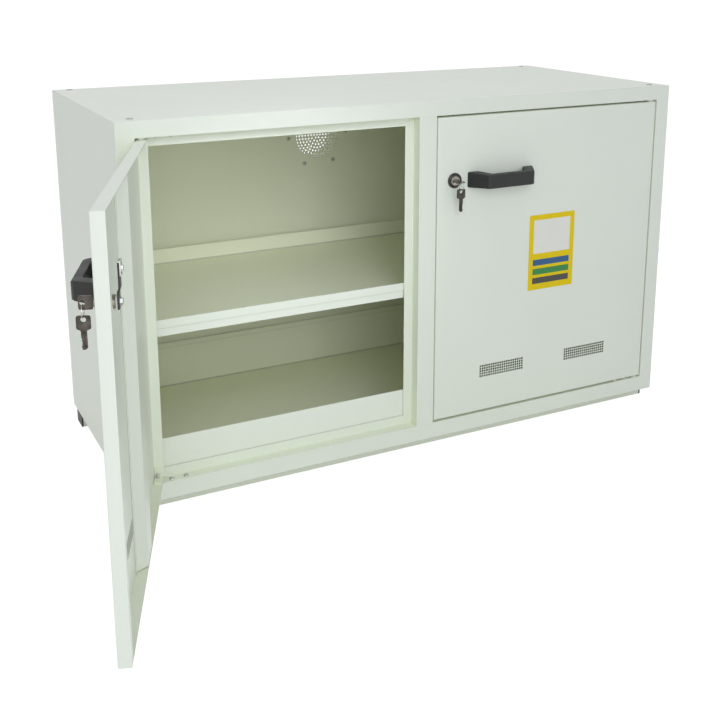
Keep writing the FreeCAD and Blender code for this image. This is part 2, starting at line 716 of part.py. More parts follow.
def cam_screws():
    """The screw that holds the cam on the tail and the one that holds the hook."""
    tail_end = LOCK + Vector(0, CAM_FACE + CAM_PLATE + CAM_SHEET, 0)
    hook_face = LOCK + Vector(0, CAM_FACE + CAM_JOGGLE + CAM_SHEET + HOOK_SHEET, CAM_REACH - HOOK_LENGTH / 2)
    return [hexagon(tail_end, CAM_SCREW_WIDTH, CAM_SCREW_HEIGHT),
            hexagon(hook_face, HOOK_SCREW_WIDTH, HOOK_SCREW_HEIGHT)]


def key(bow_hole, blade_way):
    """A flat key in the XZ plane: square bow with cut corners, hole near its end, stepped blade.

    bow_hole is the hole's centre. The blade points down, or inward through the door.
    """
    half = KEY_BOW / 2
    top = KEY_HOLE_RADIUS + KEY_END_BAR
    low = top - KEY_BOW
    blade = KEY_BLADE / 2
    cut = KEY_CORNER
    shoulder = low - KEY_SHOULDER
    tip = shoulder - KEY_BLADE_LENGTH
    points = [(-half + cut, top), (half - cut, top), (half, top - cut), (half, low + cut), (half - cut, low),
              (blade, shoulder), (blade, tip + 2), (1.0, tip), (-blade + 1, tip), (-blade, tip + 4),
              (-blade + 0.8, tip + 6), (-blade, tip + 9), (-blade, shoulder), (-half + cut, low),
              (-half, low + cut), (-half, top - cut)]
    plate = prism([Vector(x, -KEY_SHEET / 2, z) for x, z in points], Vector(0, KEY_SHEET, 0))
    hole = sided_bore(Vector(0, -KEY_SHEET / 2, 0), KEY_HOLE_RADIUS, KEY_SHEET, 8, Y_AXIS)
    solid = plate.cut(hole)
    if blade_way == "inward":
        solid.rotate(Vector(0, 0, 0), X_AXIS, 90)
    solid.translate(bow_hole)
    return solid


def many_sided_ring(centre, axis, radius, wire):
    """A key ring of square wire, drawn with twelve sides."""
    sides = 12
    along = Vector(axis).normalize()
    across = along.cross(Z_AXIS)

    def loop(flat_reach):
        reach = flat_reach / math.cos(math.pi / sides)
        angles = [2 * math.pi * (step + 0.5) / sides for step in range(sides)]
        start = centre - along * (wire / 2)
        points = [start + across * (reach * math.cos(a)) + Z_AXIS * (reach * math.sin(a)) for a in angles]
        return outline(points)

    return holed_face([loop(radius + wire / 2), loop(radius - wire / 2)]).extrude(along * wire)


BOW_HOLE = LOCK - Y_AXIS * (KEY_STANDOFF + KEY_BOW - KEY_HOLE_RADIUS - KEY_END_BAR)
HOLE_PLAY = KEY_HOLE_RADIUS - RING_WIRE / 2 - LOOSE_FIT


def upright_key_set():
    """Key standing upright in the lock; the ring faces the door and the spare is edge-on to it."""
    inserted = key(Vector(0, 0, 0), "inward")
    inserted.rotate(Vector(0, 0, 0), Y_AXIS, 90)
    inserted.translate(BOW_HOLE)
    ring_centre = BOW_HOLE - Z_AXIS * (HOLE_PLAY + RING_RADIUS)
    ring = many_sided_ring(ring_centre, Y_AXIS, RING_RADIUS, RING_WIRE)
    spare = key(Vector(0, 0, 0), "down")
    spare.rotate(Vector(0, 0, 0), Z_AXIS, 90)
    spare.translate(ring_centre - Z_AXIS * (RING_RADIUS + HOLE_PLAY))
    return inserted, ring, spare


def level_key_set():
    """Key lying level in the lock; the ring goes round the bow's end bar, the spare faces front."""
    inserted = key(BOW_HOLE, "inward")
    bar = BOW_HOLE - Y_AXIS * (KEY_HOLE_RADIUS + KEY_END_BAR / 2)
    ring_centre = bar - Z_AXIS * (RING_RADIUS - RING_WIRE / 2 - KEY_SHEET / 2 - LOOSE_FIT)
    ring = many_sided_ring(ring_centre, X_AXIS, RING_RADIUS, RING_WIRE)
    spare = key(ring_centre - Z_AXIS * (RING_RADIUS + HOLE_PLAY), "down")
    return inserted, ring, spare


def swung_open(shape):
    opened = shape.copy()
    opened.rotate(PIVOT, Z_AXIS, -OPEN_ANGLE)
    return opened


def save_door(side, place, keys):
    """Write one door's pieces, put in place by the given function."""
    inserted, ring, spare = keys
    flat = side == "right"
    pieces = {
        "door_panel": [PANEL],
        "door_stiffener": [door_stiffener()],
        "door_hinge_brackets": door_hinge_brackets(),
        "handle": [handle()],
        "handle_screws": handle_screws(),
        "lock_ring": [lock_ring()],
        "lock_body": [lock_body()],
        "lock_nut": [lock_nut()],
        "lock_cylinder": [lock_cylinder(flat)],
        "cam_plate": [cam_plate()],
        "cam_bar": [cam_bar()],
        "cam_hook": [cam_hook()],
        "cam_screws": cam_screws(),
        "key": [inserted],
        "key_ring": [ring],
        "spare_key": [spare],
    }
    for name, solids in pieces.items():
        save(side + "_" + name, *[place(solid) for solid in solids])


PANEL = door_panel()
FRAME = front_frame()

save("outer_casing", outer_casing())
save("front_frame", FRAME.cut(mullion_place()).removeSplitter())
save("centre_mullion", FRAME.common(mullion_place()).removeSplitter())
save("floor_panel", floor_panel())
save("back_panel", back_panel())
save("exhaust_spigot", exhaust_spigot())
save("spigot_screws", *spigot_screws())
save("shelf_tray", shelf_tray())
save("shelf_bracket_left", shelf_bracket())
save("shelf_bracket_right", mirrored(shelf_bracket()))
save("sump_tray", sump_tray())
save("base_rail_front", base_rail(rail_middles()[0]))
save("base_rail_rear", base_rail(rail_middles()[1]))
save("rail_end_plugs", *rail_end_plugs())
save("top_hole_plugs", *top_hole_plugs())
save("hinge_plates", *hinge_plates())
save("hinge_pins", *hinge_pins())
save("hinge_plate_screws", *hinge_plate_screws())
save_door("left", swung_open, upright_key_set())
save_door("right", mirrored, level_key_set())
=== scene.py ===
import math
import bpy
import bmesh
from mathutils import Matrix, Vector
from mathutils.geometry import delaunay_2d_cdt


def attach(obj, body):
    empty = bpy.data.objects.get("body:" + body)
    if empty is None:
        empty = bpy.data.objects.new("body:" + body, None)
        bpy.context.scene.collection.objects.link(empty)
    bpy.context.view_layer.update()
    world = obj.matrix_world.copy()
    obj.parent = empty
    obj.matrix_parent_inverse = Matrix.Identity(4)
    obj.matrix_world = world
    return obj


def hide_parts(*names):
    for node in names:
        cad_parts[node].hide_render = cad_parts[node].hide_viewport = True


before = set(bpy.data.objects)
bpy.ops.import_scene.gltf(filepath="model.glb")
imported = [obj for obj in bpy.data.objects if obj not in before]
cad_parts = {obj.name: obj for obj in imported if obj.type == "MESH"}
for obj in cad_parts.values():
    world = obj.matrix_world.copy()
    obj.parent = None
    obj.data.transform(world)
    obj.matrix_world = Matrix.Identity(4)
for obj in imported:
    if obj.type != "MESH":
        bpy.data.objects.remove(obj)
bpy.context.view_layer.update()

# Base rails.
# Two rectangular steel tubes lie across the whole width under the carcass, screwed to its floor.
# They are coated with the carcass; a black plastic plug is tapped into each open end.
NOISE_LOW = 0.3
NOISE_HIGH = 0.7
TINT_GRAIN = 5
GLOSS_GRAIN = 60
METAL_TINT_GRAIN = 90
METAL_GLOSS_GRAIN = 260
GLOSS_TINT = (1.0, 0.97, 0.90, 1)
SHARP = math.radians(40)
WELD_REACH = 0.00001


def new_material(name):
    material = bpy.data.materials.new(name)
    material.use_nodes = True
    nodes = material.node_tree.nodes
    return material, nodes, material.node_tree.links, nodes["Principled BSDF"]


def noise(nodes, links, scale, detail=2.0, stretch=(1, 1, 1)):
    """Noise over the piece's own place, so that it stays put when a door swings."""
    place = nodes.new("ShaderNodeTexCoord")
    mapping = nodes.new("ShaderNodeMapping")
    mapping.inputs["Scale"].default_value = stretch
    texture = nodes.new("ShaderNodeTexNoise")
    texture.inputs["Scale"].default_value = scale
    texture.inputs["Detail"].default_value = detail
    links.new(place.outputs["Object"], mapping.inputs["Vector"])
    links.new(mapping.outputs["Vector"], texture.inputs["Vector"])
    return texture.outputs["Fac"]


def between(nodes, links, fac, low, high, into):
    """A noise value spread between two numbers."""
    spread = nodes.new("ShaderNodeMapRange")
    spread.inputs["From Min"].default_value = NOISE_LOW
    spread.inputs["From Max"].default_value = NOISE_HIGH
    spread.inputs["To Min"].default_value = low
    spread.inputs["To Max"].default_value = high
    links.new(fac, spread.inputs["Value"])
    links.new(spread.outputs["Result"], into)


def shade(nodes, links, fac, dark, light, into):
    """A colour that wanders between two near ones."""
    ramp = nodes.new("ShaderNodeValToRGB")
    ramp.color_ramp.elements[0].position = NOISE_LOW
    ramp.color_ramp.elements[1].position = NOISE_HIGH
    ramp.color_ramp.elements[0].color = (*dark, 1)
    ramp.color_ramp.elements[1].color = (*light, 1)
    links.new(fac, ramp.inputs["Fac"])
    links.new(ramp.outputs["Color"], into)


def relief(nodes, links, height, depth, strength, into):
    """A fine grain that stands up from the surface by depth."""
    bump = nodes.new("ShaderNodeBump")
    bump.inputs["Strength"].default_value = strength
    bump.inputs["Distance"].default_value = depth
    links.new(height, bump.inputs["Height"])
    links.new(bump.outputs["Normal"], into)


def coated(name, dark, light, roughness=(0.34, 0.42), grain=1400, depth=0.00006, strength=0.35, specular=0.5):
    """A paint or plastic skin: near-even colour, a little uneven gloss and a fine grain."""
    material, nodes, links, shader = new_material(name)
    broad = noise(nodes, links, TINT_GRAIN, 4)
    shade(nodes, links, broad, dark, light, shader.inputs["Base Color"])
    between(nodes, links, noise(nodes, links, GLOSS_GRAIN, 3), *roughness, shader.inputs["Roughness"])
    relief(nodes, links, noise(nodes, links, grain, 2), depth, strength, shader.inputs["Normal"])
    shader.inputs["Specular IOR Level"].default_value = specular
    shader.inputs["Specular Tint"].default_value = GLOSS_TINT
    return material


def plated(name, dark, light, roughness=(0.2, 0.36), grain=600, stretch=(1, 1, 1), depth=0.00003,
           strength=0.3):
    """A metal skin whose tint and gloss wander a little."""
    material, nodes, links, shader = new_material(name)
    shader.inputs["Metallic"].default_value = 1.0
    shade(nodes, links, noise(nodes, links, METAL_TINT_GRAIN, 3), dark, light, shader.inputs["Base Color"])
    gloss = noise(nodes, links, METAL_GLOSS_GRAIN, 3, stretch)
    between(nodes, links, gloss, *roughness, shader.inputs["Roughness"])
    relief(nodes, links, noise(nodes, links, grain, 2, stretch), depth, strength, shader.inputs["Normal"])
    return material


def round_edges(piece, width, rounds=2):
    """Rounds a piece's sharp edges without touching its mesh."""
    bevel = piece.modifiers.new("edges", "BEVEL")
    bevel.width = width
    bevel.segments = rounds
    bevel.limit_method = "ANGLE"
    bevel.angle_limit = SHARP
    bevel.harden_normals = True


def dress(material, *names, edge=0.0, rounds=2):
    """Gives the named pieces their material and, if edge is set, edges rounded by that much."""
    for name in names:
        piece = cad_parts[name]
        piece.data.materials.clear()
        piece.data.materials.append(material)
        if edge:
            weld = piece.modifiers.new("weld", "WELD")
            weld.merge_threshold = WELD_REACH
            round_edges(piece, edge, rounds)


COAT_DARK = (0.81, 0.855, 0.645)
COAT_LIGHT = (0.83, 0.875, 0.66)
coat = coated("powder_coat", COAT_DARK, COAT_LIGHT, specular=0.4)
plug_black = coated("plug_plastic", (0.016, 0.018, 0.014), (0.025, 0.027, 0.021), (0.5, 0.65), 900)
dress(coat, "base_rail_front", "base_rail_rear", edge=0.0015, rounds=3)
dress(plug_black, "rail_end_plugs", edge=0.0008)

# Carcass.
# Sides and top are one folded wrap of 1.2 mm steel; floor and back panel are spot-welded into it.
# The front frame with its centre mullion is welded on, ground flush and coated with the rest.
SHEET = 0.0012
FRONT = -0.050
BACK = 0.426
SAME_POINT = 1e-7
ON_EDGE = 1e-6


def finish(bm, name, material, body, stands_for=(), smooth=35, bevel=0.0):
    """Turns a bmesh into a piece that rides on a body."""
    bmesh.ops.remove_doubles(bm, verts=bm.verts, dist=SAME_POINT)
    bmesh.ops.recalc_face_normals(bm, faces=bm.faces)
    mesh = bpy.data.meshes.new(name)
    bm.to_mesh(mesh)
    bm.free()
    mesh.shade_smooth()
    mesh.set_sharp_from_angle(angle=math.radians(smooth))
    mesh.materials.append(material)
    piece = bpy.data.objects.new(name, mesh)
    bpy.context.collection.objects.link(piece)
    if bevel:
        round_edges(piece, bevel)
    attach(piece, body)
    if stands_for:
        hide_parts(*stands_for)
    return piece


def circle(x, z, radius, sides):
    """A round outline; its first point lies half a side past level."""
    angles = [2 * math.pi * (step + 0.5) / sides for step in range(sides)]
    return [(x + radius * math.cos(a), z + radius * math.sin(a)) for a in angles]


def rectangle(x0, x1, z0, z1):
    return [(x0, z0), (x1, z0), (x1, z1), (x0, z1)]


def add_sheet(bm, outline, holes, y0, y1, rim=True, cut_edge=0):
    """A flat sheet between two depths with its holes cut through; rim closes its outer edge.

    The walls of the holes get the material number cut_edge.
    """
    points = []
    loops = []
    for loop in (outline, *holes):
        loops.append(list(range(len(points), len(points) + len(loop))))
        points += [Vector(point) for point in loop]
    found, _, faces, _, _, owners = delaunay_2d_cdt(points, [], loops, 1, SAME_POINT)
    kept = [face for face, owner in zip(faces, owners) if list(owner) == [0]]
    near = [bm.verts.new((x, y0, z)) for x, z in found]
    far = [bm.verts.new((x, y1, z)) for x, z in found]
    uses = {}
    for face in kept:
        bm.faces.new([near[i] for i in face])
        bm.faces.new([far[i] for i in reversed(face)])
        for first, second in zip(face, [*face[1:], face[0]]):
            uses.setdefault(frozenset((first, second)), []).append((first, second))
    box_x = [point[0] for point in outline]
    box_z = [point[1] for point in outline]
    for used in uses.values():
        if len(used) > 1:
            continue
        first, second = used[0]
        middle = (found[first] + found[second]) / 2
        across = min(abs(middle.x - min(box_x)), abs(middle.x - max(box_x)))
        upward = min(abs(middle.y - min(box_z)), abs(middle.y - max(box_z)))
        on_edge = min(across, upward) < ON_EDGE
        if rim or not on_edge:
            wall = bm.faces.new([near[second], near[first], far[first], far[second]])
            wall.material_index = 0 if on_edge else cut_edge


def add_box(bm, x0, x1, y0, y1, z0, z1):
    corners = [bm.verts.new((x, y, z)) for z in (z0, z1) for y in (y0, y1) for x in (x0, x1)]
    for face in ((0, 1, 3, 2), (4, 6, 7, 5), (0, 4, 5, 1), (2, 3, 7, 6), (0, 2, 6, 4), (1, 5, 7, 3)):
        bm.faces.new([corners[i] for i in face])


def lathe(bm, profile, matrix, sides=48):
    """A closed profile of (radius, height) turned about the matrix's own Z axis."""
    rings = []
    for radius, height in profile:
        if radius < SAME_POINT:
            rings.append([bm.verts.new(matrix @ Vector((0, 0, height)))])
            continue
        angles = [2 * math.pi * step / sides for step in range(sides)]
        rings.append([bm.verts.new(matrix @ Vector((radius * math.cos(a), radius * math.sin(a), height)))
                      for a in angles])
    for low, high in zip(rings, rings[1:] + rings[:1]):
        for step in range(sides):
            after = (step + 1) % sides
            if len(low) == 1 and len(high) == 1:
                continue
            if len(low) == 1:
                bm.faces.new([low[0], high[after], high[step]])
            elif len(high) == 1:
                bm.faces.new([low[step], low[after], high[0]])
            else:
                bm.faces.new([low[step], low[after], high[after], high[step]])


def standing(place, axis):
    """A matrix that stands a turned piece at a place, its own Z along the axis."""
    return Matrix.Translation(Vector(place)) @ Vector(axis).to_track_quat("Z", "Y").to_matrix().to_4x4()


def painted_corner_shade(nodes, links, shader):
    """Painted shade: tight corners and open folds are darkened where nearby surfaces block the light."""
    near = nodes.new("ShaderNodeAmbientOcclusion")
    near.samples = 6
    near.inputs["Distance"].default_value = CORNER_REACH
    reach = nodes.new("ShaderNodeMapRange")
    reach.inputs["From Min"].default_value = 0.35
    reach.inputs["From Max"].default_value = 0.9
    shaded = nodes.new("ShaderNodeMix")
    shaded.data_type = "RGBA"
    shaded.inputs["A"].default_value = CORNER_SHADE_TONE
    links.new(near.outputs["AO"], reach.inputs["Value"])
    links.new(reach.outputs["Result"], shaded.inputs["Factor"])
    links.new(shader.inputs["Base Color"].links[0].from_socket, shaded.inputs["B"])
    links.new(shaded.outputs["Result"], shader.inputs["Base Color"])


def inner_coat_painted_light():
    """The coating on inner pieces with painted bounce light, lighter and yellower from the doorway inwards up
    to the middle of the rear sheet, and painted shade in tight corners.
    """
    material = coated("inner_powder_coat_painted_light", COAT_DARK, COAT_LIGHT)
    nodes = material.node_tree.nodes
    links = material.node_tree.links
    shader = nodes["Principled BSDF"]
    place = nodes.new("ShaderNodeNewGeometry")
    split = nodes.new("ShaderNodeSeparateXYZ")
    depth = nodes.new("ShaderNodeMapRange")
    depth.inputs["From Min"].default_value = DOORWAY
    depth.inputs["From Max"].default_value = DOORWAY + BOUNCE_REACH
    blend = nodes.new("ShaderNodeMix")
    blend.data_type = "RGBA"
    blend.inputs["B"].default_value = PAINTED_BOUNCE_TONE
    within = nodes.new("ShaderNodeMath")
    within.operation = "LESS_THAN"
    within.inputs[1].default_value = REAR_MIDDLE
    bounce_share = nodes.new("ShaderNodeMath")
    bounce_share.operation = "MULTIPLY"
    links.new(place.outputs["Position"], split.inputs["Vector"])
    links.new(split.outputs["Y"], depth.inputs["Value"])
    links.new(split.outputs["Y"], within.inputs[0])
    links.new(depth.outputs["Result"], bounce_share.inputs[0])
    links.new(within.outputs["Value"], bounce_share.inputs[1])
    links.new(bounce_share.outputs["Value"], blend.inputs["Factor"])
    links.new(shader.inputs["Base Color"].links[0].from_socket, blend.inputs["A"])
    links.new(blend.outputs["Result"], shader.inputs["Base Color"])
    painted_corner_shade(nodes, links, shader)
    return material


# The reach and dark tone of the painted corner shade.
CORNER_REACH = 0.004
CORNER_SHADE_TONE = (0.30, 0.32, 0.22, 1)
# Painted bounce light: inner faces turn lighter and yellower over this reach from the doorway inwards.
DOORWAY = -0.022
BOUNCE_REACH = 0.07
PAINTED_BOUNCE_TONE = (0.94, 0.97, 0.69, 1)
REAR_MIDDLE = BACK - 1.5 * SHEET
REAR_HALF_WIDTH = 0.5488
REAR_BOTTOM = 0.025
REAR_TOP = 0.6618
VENT_CENTRE = (0.0, 0.5375)
VENT_RINGS = 7
VENT_PITCH = 0.00695
VENT_HOLE = 0.00195
HOLE_SIDES = 12
# Inner pieces share one coat that carries painted bounce light and painted corner shade.
inside = inner_coat_painted_light()
dress(coat, "floor_panel", "outer_casing", edge=0.0004)
dress(coat, "front_frame", "centre_mullion", edge=0.0003)
vent_holes = [circle(*VENT_CENTRE, VENT_HOLE, HOLE_SIDES)]
for ring in range(1, VENT_RINGS + 1):
    for step in range(6 * ring):
        angle = 2 * math.pi * step / (6 * ring)
        x = VENT_CENTRE[0] + ring * VENT_PITCH * math.cos(angle)
        z = VENT_CENTRE[1] + ring * VENT_PITCH * math.sin(angle)
        vent_holes.append(circle(x, z, VENT_HOLE, HOLE_SIDES))
bm = bmesh.new()
rear_outline = rectangle(-REAR_HALF_WIDTH, REAR_HALF_WIDTH, REAR_BOTTOM, REAR_TOP)
add_sheet(bm, rear_outline, vent_holes, BACK - 2 * SHEET, BACK - SHEET)
finish(bm, "rear_sheet", inside, "cabinet", ["back_panel"])

# Exhaust collar.
# A rolled collar for a 100 mm duct, spun out to a flange and coated; six zinc-plated pan-head
# screws from inside the cabinet hold the flange against the back panel.
COLLAR_BORE = 0.049
COLLAR_RADIUS = 0.05
COLLAR_LENGTH = 0.045
FLANGE_RADIUS = 0.077
FLANGE_THICKNESS = 0.0015
FLANGE_BEND = 0.0017
COLLAR_ROUND = 0.0003
COLLAR_SIDES = 96
COLLAR_SCREWS = 6
COLLAR_SCREW_CIRCLE = 0.0675
COLLAR_SCREW_START = 3
COLLAR_SCREW_HEAD = (0.0038, 0.002)
HEAD_CROWN = 0.62
HEAD_SIDES = 24
RECESS_DEPTH = 0.4
RECESS_ARM = 0.52
RECESS_HALF_WIDTH = 0.13


def cross(radius):
    """The outline of a cross recess in a head of that radius."""
    arm = radius * RECESS_ARM
    half = radius * RECESS_HALF_WIDTH
    return [(arm, -half), (arm, half), (half, half), (half, arm), (-half, arm), (-half, half),
            (-arm, half), (-arm, -half), (-half, -half), (-half, -arm), (half, -arm), (half, -half)]


def pan_heads(name, places, axis, radius, height, body, stands_for, moved=None):
    """Domed screw heads of one radius and height with a cross recess, each standing on its place."""
    bm = bmesh.new()
    crown = radius * HEAD_CROWN
    floor_of_recess = height * RECESS_DEPTH
    dome = [(radius, 0), (radius, height * 0.3), (radius * 0.93, height * 0.66)]
    dome += [(radius * 0.78, height * 0.9), (crown, height)]
    dome += [(crown, floor_of_recess), (0, floor_of_recess), (0, 0)]
    for place in places:
        one = bmesh.new()
        lathe(one, dome, Matrix.Identity(4), HEAD_SIDES)
        flat = bmesh.new()
        add_sheet(flat, circle(0, 0, crown, HEAD_SIDES), [cross(radius)], -height, -floor_of_recess)
        turned = bpy.data.meshes.new("recess")
        flat.to_mesh(turned)
        flat.free()
        turned.transform(Matrix.Rotation(math.radians(-90), 4, "X"))
        one.from_mesh(turned)
        bpy.data.meshes.remove(turned)
        whole = bpy.data.meshes.new("head")
        one.to_mesh(whole)
        one.free()
        whole.transform(standing(place, axis))
        if moved:
            whole.transform(moved)
        bm.from_mesh(whole)
        bpy.data.meshes.remove(whole)
    return finish(bm, name, zinc, body, stands_for)


zinc = plated("zinc", (0.50, 0.51, 0.48), (0.68, 0.68, 0.64))
bm = bmesh.new()
collar = [
    (COLLAR_BORE, 0),
    (FLANGE_RADIUS, 0),
    (FLANGE_RADIUS, FLANGE_THICKNESS - COLLAR_ROUND),
    (FLANGE_RADIUS - COLLAR_ROUND, FLANGE_THICKNESS),
    (COLLAR_RADIUS + 0.0015, FLANGE_THICKNESS),
    (COLLAR_RADIUS + 0.0003, FLANGE_THICKNESS + 0.0005),
    (COLLAR_RADIUS, FLANGE_THICKNESS + FLANGE_BEND),
    (COLLAR_RADIUS, COLLAR_LENGTH - COLLAR_ROUND),
    (COLLAR_RADIUS - COLLAR_ROUND, COLLAR_LENGTH),
    (COLLAR_BORE + COLLAR_ROUND, COLLAR_LENGTH),
    (COLLAR_BORE, COLLAR_LENGTH - COLLAR_ROUND),
]
lathe(bm, collar, standing((VENT_CENTRE[0], BACK - SHEET, VENT_CENTRE[1]), (0, 1, 0)), COLLAR_SIDES)
finish(bm, "duct_collar", coat, "cabinet", ["exhaust_spigot"])
collar_screws = []
for step in range(COLLAR_SCREWS):
    angle = math.radians(360 / COLLAR_SCREWS * step + COLLAR_SCREW_START)
    x = VENT_CENTRE[0] + COLLAR_SCREW_CIRCLE * math.cos(angle)
    z = VENT_CENTRE[1] + COLLAR_SCREW_CIRCLE * math.sin(angle)
    collar_screws.append((x, BACK - 2 * SHEET, z))
pan_heads("collar_screws", collar_screws, (0, -1, 0), *COLLAR_SCREW_HEAD, "cabinet", ["spigot_screws"])

# Caps in the top.
# Pale plastic caps close the four bolt holes near the top's corners. Each is moulded with a
# low dome and a short stem, and is pushed in by hand.
TOP = 0.663
CAP_SIDE = 0.52
CAP_FRONT = -0.025
CAP_REAR = 0.413
CAP_RADIUS = 0.006
CAP_STEM = 0.0045
CAP_HEIGHT = 0.0014
CAP_DEPTH = 0.005
cap_pale = coated("cap_plastic", (0.42, 0.45, 0.34), (0.48, 0.51, 0.39), (0.4, 0.5), 700)
cap = [(CAP_RADIUS, 0), (0.0059, 0.0006), (0.0055, 0.0010), (0.0045, 0.0013), (0, CAP_HEIGHT)]
cap += [(0, -CAP_DEPTH), (CAP_STEM - 0.0003, -CAP_DEPTH), (CAP_STEM, -CAP_DEPTH + 0.0004), (CAP_STEM, 0)]
bm = bmesh.new()
for x in (-CAP_SIDE, CAP_SIDE):
    for y in (CAP_FRONT, CAP_REAR):
        lathe(bm, cap, Matrix.Translation((x, y, TOP)), 32)
finish(bm, "bolt_hole_caps", cap_pale, "cabinet", ["top_hole_plugs"])

# Trays.
# Sump tray and shelf tray are folded from sheet, hemmed at the front and coated. The sump stands
# on the floor; the shelf lies loose on two angles that are welded to the sides.
dress(inside, "sump_tray", "shelf_tray", edge=0.0003)
dress(inside, "shelf_bracket_left", "shelf_bracket_right", edge=0.0003)

# Hinge hardware.
# Zinc-plated plates behind the sill and the head back up the pivots. Each steel pivot pin
# wears a white nylon bush that the door rests on; pan-head screws hold the plates.
SILL = 0.0555
HEAD = 0.636
DOOR_BOTTOM = 0.0595
DOOR_TOP = 0.6325
PIVOT = Vector((-0.5084, -0.0422, 0))
PIN_RADIUS = 0.003
PIN_REACH = 0.010
PIN_POINT = 0.0006
BUSH_BORE = 0.0031
BUSH_RADIUS = 0.0065
BUSH_PLAY = 0.0001
BUSH_ROUND = 0.0003
PLATE_END = 0.52
PLATE_SCREWS = (0.035, 0.060)
PLATE_SETBACK = 0.009
PLATE_SCREW_HEAD = (0.0045, 0.0022)
nylon = coated("bush_nylon", (0.62, 0.64, 0.48), (0.68, 0.70, 0.53), (0.4, 0.5), 800)
dress(zinc, "hinge_plates")
pins = bmesh.new()
bushes = bmesh.new()
for x in (PIVOT.x, -PIVOT.x):
    for base, face, way in ((SILL, DOOR_BOTTOM, 1), (HEAD, DOOR_TOP, -1)):
        gap = abs(face - base)
        stand = standing((x, PIVOT.y, base), (0, 0, way))
        reach = gap + PIN_REACH
        pin = [(PIN_RADIUS, 0), (PIN_RADIUS, reach - PIN_POINT), (PIN_RADIUS - PIN_POINT, reach)]
        pin += [(0, reach), (0, 0)]
        lathe(pins, pin, stand, 32)
        rise = gap - BUSH_PLAY
        bush = [(BUSH_BORE, 0), (BUSH_RADIUS, 0), (BUSH_RADIUS, rise - BUSH_ROUND)]
        bush += [(BUSH_RADIUS - BUSH_ROUND, rise), (BUSH_BORE, rise)]
        lathe(bushes, bush, stand, 32)
finish(pins, "pivot_pins", zinc, "cabinet", ["hinge_pins"])
finish(bushes, "pivot_bushes", nylon, "cabinet")
for name, height, up in (("sill_screws", SILL, 1), ("head_screws", HEAD, -1)):
    offsets = [side * (PLATE_END - offset) for side in (-1, 1) for offset in PLATE_SCREWS]
    places = [(x, FRONT + PLATE_SETBACK, height) for x in offsets]
    pan_heads(name, places, (0, 0, up), *PLATE_SCREW_HEAD, "cabinet", ["hinge_plate_screws"])

# Doors.
# Each door is a pan folded from one sheet: four walls with mitred corners, a lip down the free
# edge, two fields of punched holes. A hat-section stiffener is spot-welded inside, all coated.
# Drawn as the closed left door; the left one is swung open and the right one is its mirror image.
OPEN_ANGLE = math.radians(-111)
OPENED = Matrix.Translation(PIVOT) @ Matrix.Rotation(OPEN_ANGLE, 4, "Z") @ Matrix.Translation(-PIVOT)
SIDES = {"left": OPENED, "right": Matrix.Diagonal((-1, 1, 1, 1))}
LOCK = Vector((-0.0555, FRONT, 0.517))
DOOR_X0 = -0.5175
DOOR_X1 = -0.020
DOOR_MIDDLE = (DOOR_X0 + DOOR_X1) / 2
DOOR_DEPTH = 0.018
DOOR_BACK = FRONT + DOOR_DEPTH
HINGE_WALL_DEPTH = 0.017
BEND = 0.002
LIP_WIDTH = 0.013
LIP_GAP = 0.0007
LOCK_HOLE = 0.009
FIELD_COLUMNS = 20
FIELD_ROWS = 5
FIELD_PITCH = 0.00505
FIELD_HOLE = 0.00215
FIELD_OFFSET = 0.0995
FIELD_HEIGHT = 0.1395


def put(bm, side):
    """Moves a piece drawn on the closed left door to its place on one of the doors."""
    bm.transform(SIDES[side])


def field_holes():
    """Two fields of punched holes in straight rows, low on the door."""
    holes = []
    for field in (-FIELD_OFFSET, FIELD_OFFSET):
        for column in range(FIELD_COLUMNS):
            for row in range(FIELD_ROWS):
                x = DOOR_MIDDLE + field + (column - (FIELD_COLUMNS - 1) / 2) * FIELD_PITCH
                z = FIELD_HEIGHT + (row - (FIELD_ROWS - 1) / 2) * FIELD_PITCH
                holes.append(circle(x, z, FIELD_HOLE, HOLE_SIDES))
    return holes


def door_pan():
    """The face with its holes, four walls bent back round its edge, and the lip of the free edge."""
    bm = bmesh.new()
    flat = (DOOR_X0 + BEND, DOOR_X1 - BEND, DOOR_BOTTOM + BEND, DOOR_TOP - BEND)
    holes = [circle(LOCK.x, LOCK.z, LOCK_HOLE, 32), *field_holes()]
    add_sheet(bm, rectangle(*flat), holes, FRONT, FRONT + SHEET, rim=False, cut_edge=1)
    turns = [math.radians(22.5 * step) for step in range(5)]
    profile = [(BEND * math.sin(t), BEND * (1 - math.cos(t))) for t in turns] + [(BEND, None)]
    inner = BEND - SHEET
    inner_bend = [(inner * math.sin(t), SHEET + inner * (1 - math.cos(t))) for t in reversed(turns)]
    profile += [(inner, None), *inner_bend]
    loops = []
    for out, depth in profile:
        loop = []
        for x, z in rectangle(flat[0] - out, flat[1] + out, flat[2] - out, flat[3] + out):
            rim_depth = HINGE_WALL_DEPTH if x < DOOR_MIDDLE else DOOR_DEPTH
            loop.append(bm.verts.new((x, FRONT + (rim_depth if depth is None else depth), z)))
        loops.append(loop)
    for low, high in zip(loops, loops[1:]):
        for step in range(4):
            after = (step + 1) % 4
            bm.faces.new([low[step], low[after], high[after], high[step]])
    lip = (DOOR_X1 - LIP_WIDTH, DOOR_X1 - SHEET * 0.7, DOOR_BACK - SHEET, DOOR_BACK)
    add_box(bm, *lip, DOOR_BOTTOM + LIP_GAP, DOOR_TOP - LIP_GAP)
    return bm


# The walls of the door holes get painted shade: a dark colour in place of the shadow inside each hole.
punched = coated("hole_walls_painted_shade", (0.20, 0.22, 0.14), (0.26, 0.28, 0.18), (0.6, 0.7))
for side in ("left", "right"):
    bm = door_pan()
    put(bm, side)
    pan = finish(bm, side + "_door_pan", coat, side + "_door", [side + "_door_panel"])
    pan.data.materials.append(punched)
    dress(coat, side + "_door_stiffener", edge=0.0008)
    dress(coat, side + "_door_hinge_brackets", edge=0.0004)

